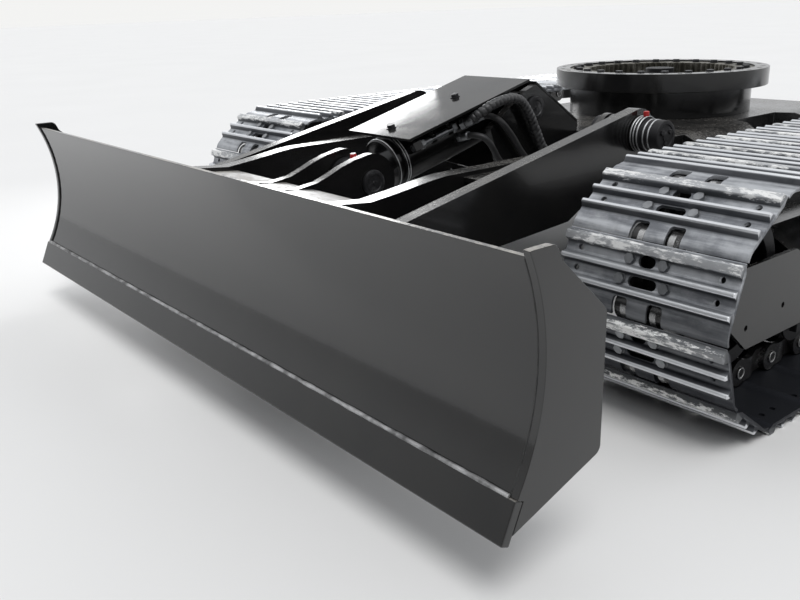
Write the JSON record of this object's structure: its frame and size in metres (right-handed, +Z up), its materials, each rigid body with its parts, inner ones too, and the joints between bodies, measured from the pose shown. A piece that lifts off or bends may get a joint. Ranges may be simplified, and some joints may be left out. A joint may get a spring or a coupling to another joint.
{
  "type": "tracked excavator undercarriage with dozer blade",
  "caption": "Steel undercarriage of a crawler excavator, with shoe tracks, slewing ring and a hydraulic dozer blade on push arms.",
  "frame": {"origin": "on the ground in the middle of the part's length and width", "axes": "+Z up, the blade and the front are towards -Y, +X is the machine's left side, seen from a driver who faces the blade"},
  "size_m": [2.29, 3.4303, 0.7441],
  "materials": {
    "black_paint": "gloss",
    "blade_paint": "gloss",
    "shoe_steel": "worn",
    "cast_steel": "rough",
    "ring_steel": "greased",
    "pin_steel": "satin",
    "rod_chrome": "polished",
    "hose_rubber": "matt",
    "red_plastic": "matt"
  },
  "bodies": {
    "undercarriage": {"barrel_pin": "pin_steel", "bottom_rollers_left": "cast_steel", "bottom_rollers_right": "cast_steel", "carrier_roller_left": "cast_steel", "carrier_roller_right": "cast_steel", "center_frame": "black_paint", "hoses": "hose_rubber", "idler_left": "cast_steel", "idler_right": "cast_steel", "idler_yoke_left": "cast_steel", "idler_yoke_right": "cast_steel", "inner_race": "ring_steel", "nose_cover": "black_paint", "nose_plates": "black_paint", "pivot_lugs": "black_paint", "ring_seat": "black_paint", "sprocket_left": "cast_steel", "sprocket_right": "cast_steel", "swivel_joint": "ring_steel", "track_frame_left": "black_paint", "track_frame_right": "black_paint", "track_left": "shoe_steel", "track_right": "shoe_steel", "travel_motor_left": "black_paint", "travel_motor_right": "black_paint"},
    "turning_race": {"turning_race": "black_paint"},
    "blade": {"mouldboard": "blade_paint", "cutting_edge": "blade_paint", "end_plate_left": "blade_paint", "end_plate_right": "blade_paint", "back_box": "black_paint", "cylinder_lugs": "black_paint", "push_arm_left": "black_paint", "push_arm_right": "black_paint", "pivot_pins": "pin_steel", "rod_pin": "pin_steel", "grease_caps": "red_plastic"},
    "barrel": {"cylinder_barrel": "black_paint", "guard_plate": "black_paint"},
    "rod": {"cylinder_rod": "rod_chrome"}
  },
  "joints": [
    {"name": "blade_lift", "type": "hinge", "parent": "undercarriage", "child": "blade", "pos_m": [0, -0.49815, 0.603], "axis": [1, 0, 0], "range_deg": [-10, 18]},
    {"name": "slew", "type": "hinge", "parent": "undercarriage", "child": "turning_race", "pos_m": [0, 0.31485, 0.69], "axis": [0, 0, 1], "continuous": true},
    {"name": "barrel_swing", "type": "hinge", "parent": "undercarriage", "child": "barrel", "pos_m": [0, -0.54415, 0.656], "axis": [1, 0, 0], "range_deg": [-10.45, 18.79]},
    {"name": "rod_slide", "type": "slide", "parent": "barrel", "child": "rod", "axis": [0, -0.9677, -0.2522], "range_m": [-0.01137, 0.02044]}
  ],
  "couplings": [
    {"joint": "barrel_swing", "follows": "blade_lift", "ratio": 1.043},
    {"joint": "rod_slide", "follows": "blade_lift", "m_per_rad": 0.065}
  ]
}
